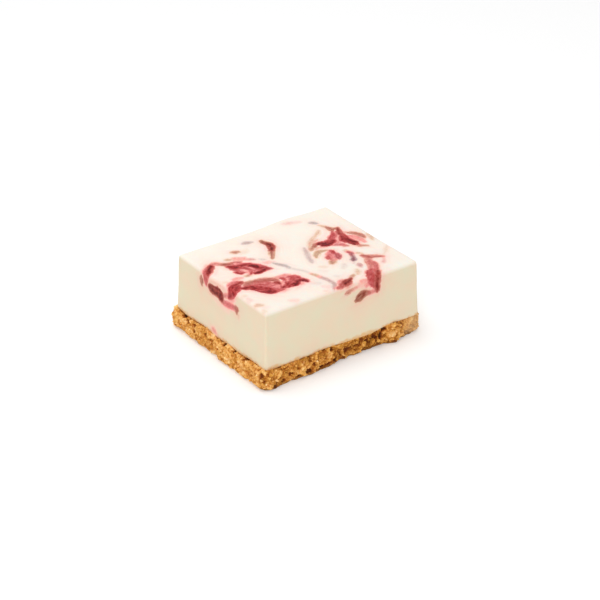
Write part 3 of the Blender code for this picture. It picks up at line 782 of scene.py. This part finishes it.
def beside(points, route):
    """For each point, how far outside the streak's edge it is (mm), and which way the streak runs there."""
    gap = np.full(len(points), FAR_AWAY)
    run = np.zeros_like(points)
    low, high = route[:, :3].min(0) - FAR_AWAY, route[:, :3].max(0) + FAR_AWAY
    close = np.flatnonzero(((points > low) & (points < high)).all(1))
    around = points[close]
    for start, stop in zip(route, route[1:]):
        axis = stop[:3] - start[:3]
        share = np.clip((around - start[:3]) @ axis / (axis @ axis), 0.0, 1.0)
        reach = start[3] + share * (stop[3] - start[3])
        away = np.linalg.norm(around - start[:3] - share[:, None] * axis, axis=1) - reach
        closer = away < gap[close]
        gap[close[closer]] = away[closer]
        run[close[closer]] = axis / np.linalg.norm(axis)
    return gap, run


# The streaks wobble a little, on top of the routes above
WOBBLE = 0.12
WOBBLE_SIZE = 5.0
warp = np.stack([uneven(points + shift, WOBBLE_SIZE) for shift in (0.0, 50.0, 90.0)], 1)
warped = points + WOBBLE * warp
gaps = []
runs = np.zeros((len(points), 3, 3))
for strength, _, *places in STREAKS:
    gap, run = beside(warped, folded_down(smooth_route(places)))
    gaps.append(gap)
    pull = abs(strength) / (0.6 + np.maximum(gap, 0.0)) ** 2
    runs += run[:, :, None] * run[:, None, :] * pull[:, None, None]
flow = np.linalg.eigh(runs)[1][:, :, 2]

# Drag marks: chance values smeared along the way that the puree was dragged
drag = np.mean([uneven(points + flow * step, 0.8) for step in np.linspace(-3.0, 3.0, 11)], axis=0)
drag /= np.std(drag)
patchy = uneven(points + 30.0, 1.3)
# In millimetres: how far the puree has seeped past each streak's edge, how soft that edge is, and
# how far the pink tint round it carries, close by and further out
SEEP = 0.3
SOFT_EDGE = 0.6
NEAR_TINT = 0.9
FAR_TINT = 4.0
# Streaks paler than this have softer edges
PALE = 0.6
depth = np.zeros(len(points))
halo = np.zeros(len(points))
hue_sum = np.zeros(len(points))
pull_sum = np.full(len(points), 1e-6)
for (strength, hue, *_), gap in zip(STREAKS, gaps):
    soft = SOFT_EDGE + max(0.0, PALE - abs(strength))
    edge = gap - (SEEP if strength > 0 else 0.5 * SEEP)
    cover = 1.0 - smooth_step(-soft, soft, edge + 0.16 * drag + 0.22 * patchy)
    if strength < 0:
        depth *= 1.0 + strength * cover
        continue
    fuller = 0.88 + 0.12 * smooth_step(0.0, 1.0, -gap)
    depth = np.maximum(depth, strength * cover * fuller)
    outside = np.maximum(gap, 0.0)
    near = strength * np.exp(-outside / NEAR_TINT)
    halo = np.maximum(halo, 0.55 * near + 0.45 * strength * np.exp(-outside / FAR_TINT))
    hue_sum += hue * near**3
    pull_sum += near**3
streaky = 1.0 + (0.08 * drag + 0.12 * patchy) * smooth_step(0.0, 0.3, depth)
keep_value(filling, "depth", np.clip(depth * streaky, 0.0, 1.0))
keep_value(filling, "halo", np.clip(halo * (1.0 + 0.2 * drag), 0.0, 1.0))
keep_value(filling, "hue", hue_sum / pull_sum)

normals = normals_of(filling)
relief = -0.12 * smooth_step(0.25, 0.8, depth) + 0.03 * drag * smooth_step(0.0, 0.4, halo)
points += normals * relief[:, None]
move_points(filling, points)
filling.data.shade_smooth()


def filling_finish():
    """Satin cream; puree from a pale veil where it is thin to dark red where it is thick."""
    material, tree, shader = new_finish(
        "marbled_cheesecake",
        Subsurface_Weight=0.1,
        Subsurface_Scale=0.6 * MM,
        Coat_Roughness=0.2,
        Specular_IOR_Level=0.05,
    )
    link = tree.links.new
    where = put(tree, "TexCoord").outputs["Object"]
    hue = value_of(tree, "hue")
    height = put(tree, "SeparateXYZ", None, Vector=where).outputs["Z"]
    patch = spread(tree, clouds(tree, where, 130.0, 3.0), 0.35, 0.65)
    cream = blend(tree, patch, (231, 211, 184), (225, 215, 187))
    # the top is paler: partly the real colour of its skin, partly painted light for the brighter light that
    # falls on the top
    skin = spread(tree, height, (top_level - 1.6) * MM, (top_level - 0.2) * MM)
    cream = blend(tree, skin, cream, blend(tree, patch, (244, 232, 219), (240, 235, 224)))
    # the crumbs have stained the foot tan, unevenly
    foot = math_of(tree, "MULTIPLY_ADD", clouds(tree, where, 420.0, 4.0), -4.0 * MM, height)
    stain = spread(tree, foot, (foot_level - 1.6) * MM, (foot_level - 0.4) * MM, 0.75, 0.0)
    cream = blend(tree, stain, cream, (226, 176, 110))
    veil = spread(tree, value_of(tree, "halo"), 0.02, 1.0, 0.0, 0.8)
    cream = blend(tree, veil, cream, (246, 168, 158))
    pulp = clouds(tree, where, 1700.0, 4.0)
    depth = value_of(tree, "depth")
    uneven_pulp = math_of(tree, "SUBTRACT", pulp, 0.5)
    mottle = math_of(tree, "MULTIPLY", uneven_pulp, spread(tree, depth, 0.0, 0.3, 0.0, 0.3))
    depth = math_of(tree, "ADD", depth, mottle)
    crimson = ramp(
        tree,
        depth,
        (0.0, (246, 216, 206)),
        (0.15, (248, 200, 190)),
        (0.3, (244, 168, 158)),
        (0.42, (234, 142, 140)),
        (0.52, (212, 114, 112)),
        (0.65, (194, 82, 82)),
        (0.8, (166, 50, 50)),
        (0.9, (136, 28, 32)),
        (1.0, (100, 12, 18)),
    )
    brown = ramp(
        tree,
        depth,
        (0.0, (238, 216, 190)),
        (0.2, (226, 196, 168)),
        (0.35, (204, 162, 136)),
        (0.5, (182, 128, 106)),
        (0.65, (156, 100, 80)),
        (0.8, (134, 72, 52)),
        (0.92, (112, 46, 32)),
        (1.0, (88, 26, 18)),
    )
    mauve = ramp(
        tree,
        depth,
        (0.0, (236, 222, 212)),
        (0.2, (216, 200, 192)),
        (0.35, (194, 174, 168)),
        (0.5, (170, 142, 142)),
        (0.65, (146, 112, 116)),
        (0.8, (124, 76, 82)),
        (1.0, (90, 36, 46)),
    )
    red = blend(tree, spread(tree, hue, 0.0, 1.0), crimson, brown)
    red = blend(tree, spread(tree, hue, 0.0, -1.0), red, mauve)
    link(blend(tree, spread(tree, depth, 0.02, 0.25), cream, red), shader.inputs["Base Color"])
    wet = spread(tree, depth, 0.35, 0.8)
    link(spread(tree, wet, 0.0, 1.0, 0.5, 0.36), shader.inputs["Roughness"])
    link(math_of(tree, "MULTIPLY", wet, 0.12), shader.inputs["Coat Weight"])
    bump = put(tree, "Bump", None, Strength=0.25, Distance=0.05 * MM, Height=pulp)
    link(bump.outputs["Normal"], shader.inputs["Normal"])
    return material


filling.data.materials.clear()
filling.data.materials.append(filling_finish())
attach(filling, "root")
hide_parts("cheesecake_filling")

# ------------------------------------------------------------------------------------------
# Studio: a white table that glows a little, a white surround, a large soft light overhead and
# another behind the camera, so that both near sides are equally bright and shadows stay faint.
# A small low light behind the bar makes the far part of its top paler.

TABLE_SIZE = 6.0
SURROUND_STRENGTH = 0.68

bpy.ops.object.select_all(action="DESELECT")
bpy.ops.mesh.primitive_plane_add(size=TABLE_SIZE, location=(0.0, 0.0, 0.0))
floor = bpy.context.active_object
floor.name = "floor"
white, tree, shader = new_finish("white_table", Roughness=0.9, Emission_Strength=0.14)
shader.inputs["Base Color"].default_value = (0.88, 0.88, 0.88, 1.0)
shader.inputs["Emission Color"].default_value = (1.0, 1.0, 1.0, 1.0)
floor.data.materials.append(white)

world = bpy.data.worlds.new("studio")
bpy.context.scene.world = world
world.use_nodes = True
surround = world.node_tree.nodes["Background"]
surround.inputs["Color"].default_value = (1.0, 1.0, 1.0, 1.0)
surround.inputs["Strength"].default_value = SURROUND_STRENGTH


def soft_light(name, place, size, power):
    """A round soft box that faces the bar."""
    data = bpy.data.lights.new(name, "AREA")
    data.shape = "DISK"
    data.size = size
    data.energy = power
    lamp = bpy.data.objects.new(name, data)
    lamp.location = place
    lamp.rotation_euler = (-Vector(place)).to_track_quat("-Z", "Y").to_euler()
    bpy.context.scene.collection.objects.link(lamp)


soft_light("overhead_light", place=(-0.1, 0.15, 1.0), size=0.7, power=2.9)
soft_light("front_light", place=(-0.75, -0.85, 0.75), size=0.6, power=4.5)
soft_light("back_light", place=(-0.03, 0.17, 0.13), size=0.08, power=0.04)

# The camera looks from the front left and above, as the photo does
CAMERA_AZIMUTH = math.radians(36.1)
CAMERA_ELEVATION = math.radians(29.1)
CAMERA_DISTANCE = 800.0
AIM_RIGHT = 1.02
AIM_UP = -5.99
FOCAL_PIXELS = 2096.0
FRAME_PIXELS = 600.0

away = Vector(
    (
        math.sin(CAMERA_AZIMUTH) * math.cos(CAMERA_ELEVATION),
        math.cos(CAMERA_AZIMUTH) * math.cos(CAMERA_ELEVATION),
        -math.sin(CAMERA_ELEVATION),
    )
)
right = Vector((math.cos(CAMERA_AZIMUTH), -math.sin(CAMERA_AZIMUTH), 0.0))
up = right.cross(away)
block_middle = Vector((middle.x, middle.y, top_level - BLOCK_HEIGHT / 2))
lens = bpy.data.cameras.new("camera")
lens.sensor_width = 36.0
lens.lens = FOCAL_PIXELS / FRAME_PIXELS * lens.sensor_width
camera = bpy.data.objects.new("camera", lens)
aim = block_middle + AIM_RIGHT * right + AIM_UP * up
camera.location = (aim - CAMERA_DISTANCE * away) * MM
camera.rotation_euler = away.to_track_quat("-Z", "Y").to_euler()
bpy.context.scene.collection.objects.link(camera)
bpy.context.scene.camera = camera
bpy.context.scene.view_settings.view_transform = "Standard"
